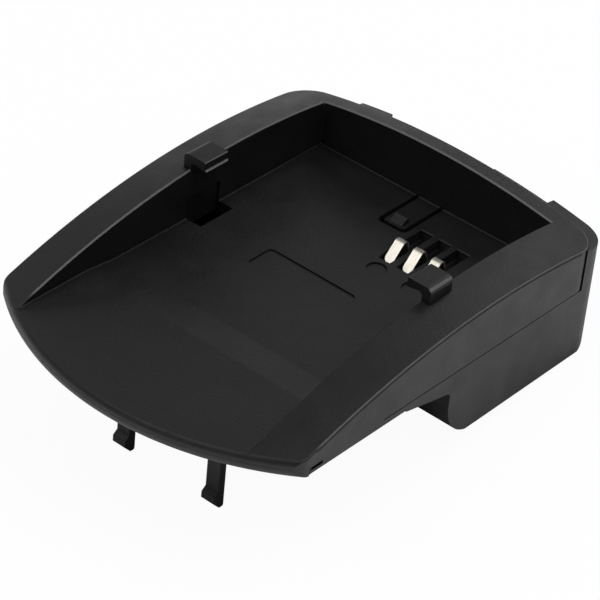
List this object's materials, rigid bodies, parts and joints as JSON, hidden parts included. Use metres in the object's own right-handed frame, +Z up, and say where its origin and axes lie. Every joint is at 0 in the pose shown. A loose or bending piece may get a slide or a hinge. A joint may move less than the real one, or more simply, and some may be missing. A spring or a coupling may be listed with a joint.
{
  "type": "camera battery charging plate",
  "caption": "Clip-on charging plate of a camera battery charger: open battery pocket with side tabs, sprung leaf contacts and a latch tongue, on a case with a deep rear block and snap hooks.",
  "frame": {"origin": "under the middle of the plate, level with the hook tips", "axes": "+Z up out of the battery pocket, the rounded open front along -Y, the contacts on the +X side"},
  "size_m": [0.0526, 0.0708, 0.0299],
  "materials": {
    "case_plastic": "fine matt moulded texture",
    "holder_plastic": "moulded",
    "contact_metal": "nickel-plated, satin",
    "dock_metal": "plated, satin",
    "screw_steel": "zinc-plated",
    "board": "solder mask",
    "chip_plastic": "moulded",
    "capacitor_can": "satin"
  },
  "bodies": {
    "root": {"top_cover": "case_plastic", "bottom_case": "case_plastic", "contact_spring_1": "contact_metal", "contact_spring_2": "contact_metal", "contact_spring_3": "contact_metal", "contact_holder": "holder_plastic", "circuit_board": "board", "board_chip": "chip_plastic", "board_diode": "chip_plastic", "board_capacitor": "capacitor_can", "sense_resistor_1": "chip_plastic", "sense_resistor_2": "chip_plastic", "dock_contact_1": "dock_metal", "dock_contact_2": "dock_metal", "dock_contact_3": "dock_metal", "cover_screws": "screw_steel", "board_screws": "screw_steel"}
  },
  "joints": []
}
